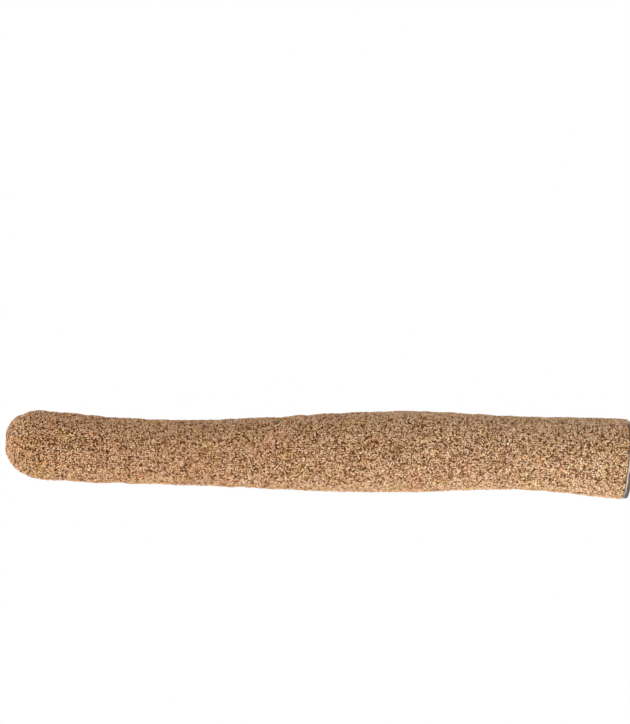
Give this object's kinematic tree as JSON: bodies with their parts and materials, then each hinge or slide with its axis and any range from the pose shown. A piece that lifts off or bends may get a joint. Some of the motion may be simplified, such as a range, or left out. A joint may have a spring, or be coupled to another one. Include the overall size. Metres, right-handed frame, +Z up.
{
  "type": "bird perch",
  "caption": "Waisted, gently bent cage perch: a wooden core with a grit coat, clamped to the cage's wires by a stud, washers and a wing nut.",
  "frame": {"origin": "centre of the inner washer's outer face, which bears on the cage's wires", "axes": "+X along the stud, out through the cage's wall; the perch lies along -X; +Z up, and the perch bends down towards its tip"},
  "size_m": [0.172, 0.0198, 0.0312],
  "materials": {
    "wood": "matte",
    "grit": "matte",
    "zinc_plate": "satin"
  },
  "bodies": {
    "perch": {"wood_core": "wood", "grit_coat": "grit", "stud": "zinc_plate", "inner_washer": "zinc_plate"},
    "outer_washer": {"outer_washer": "zinc_plate"},
    "wing_nut": {"wing_nut": "zinc_plate"}
  },
  "joints": [
    {"name": "washer_travel", "type": "slide", "parent": "perch", "child": "outer_washer", "axis": [1, 0, 0], "range_m": [-0.0048, 0.0131]},
    {"name": "nut_turn", "type": "hinge", "parent": "outer_washer", "child": "wing_nut", "pos_m": [0.0063, 0, 0], "axis": [1, 0, 0], "range_deg": [-1350, 3690]}
  ],
  "couplings": [
    {"joint": "washer_travel", "follows": "nut_turn", "m_per_rad": 0.00020213}
  ]
}
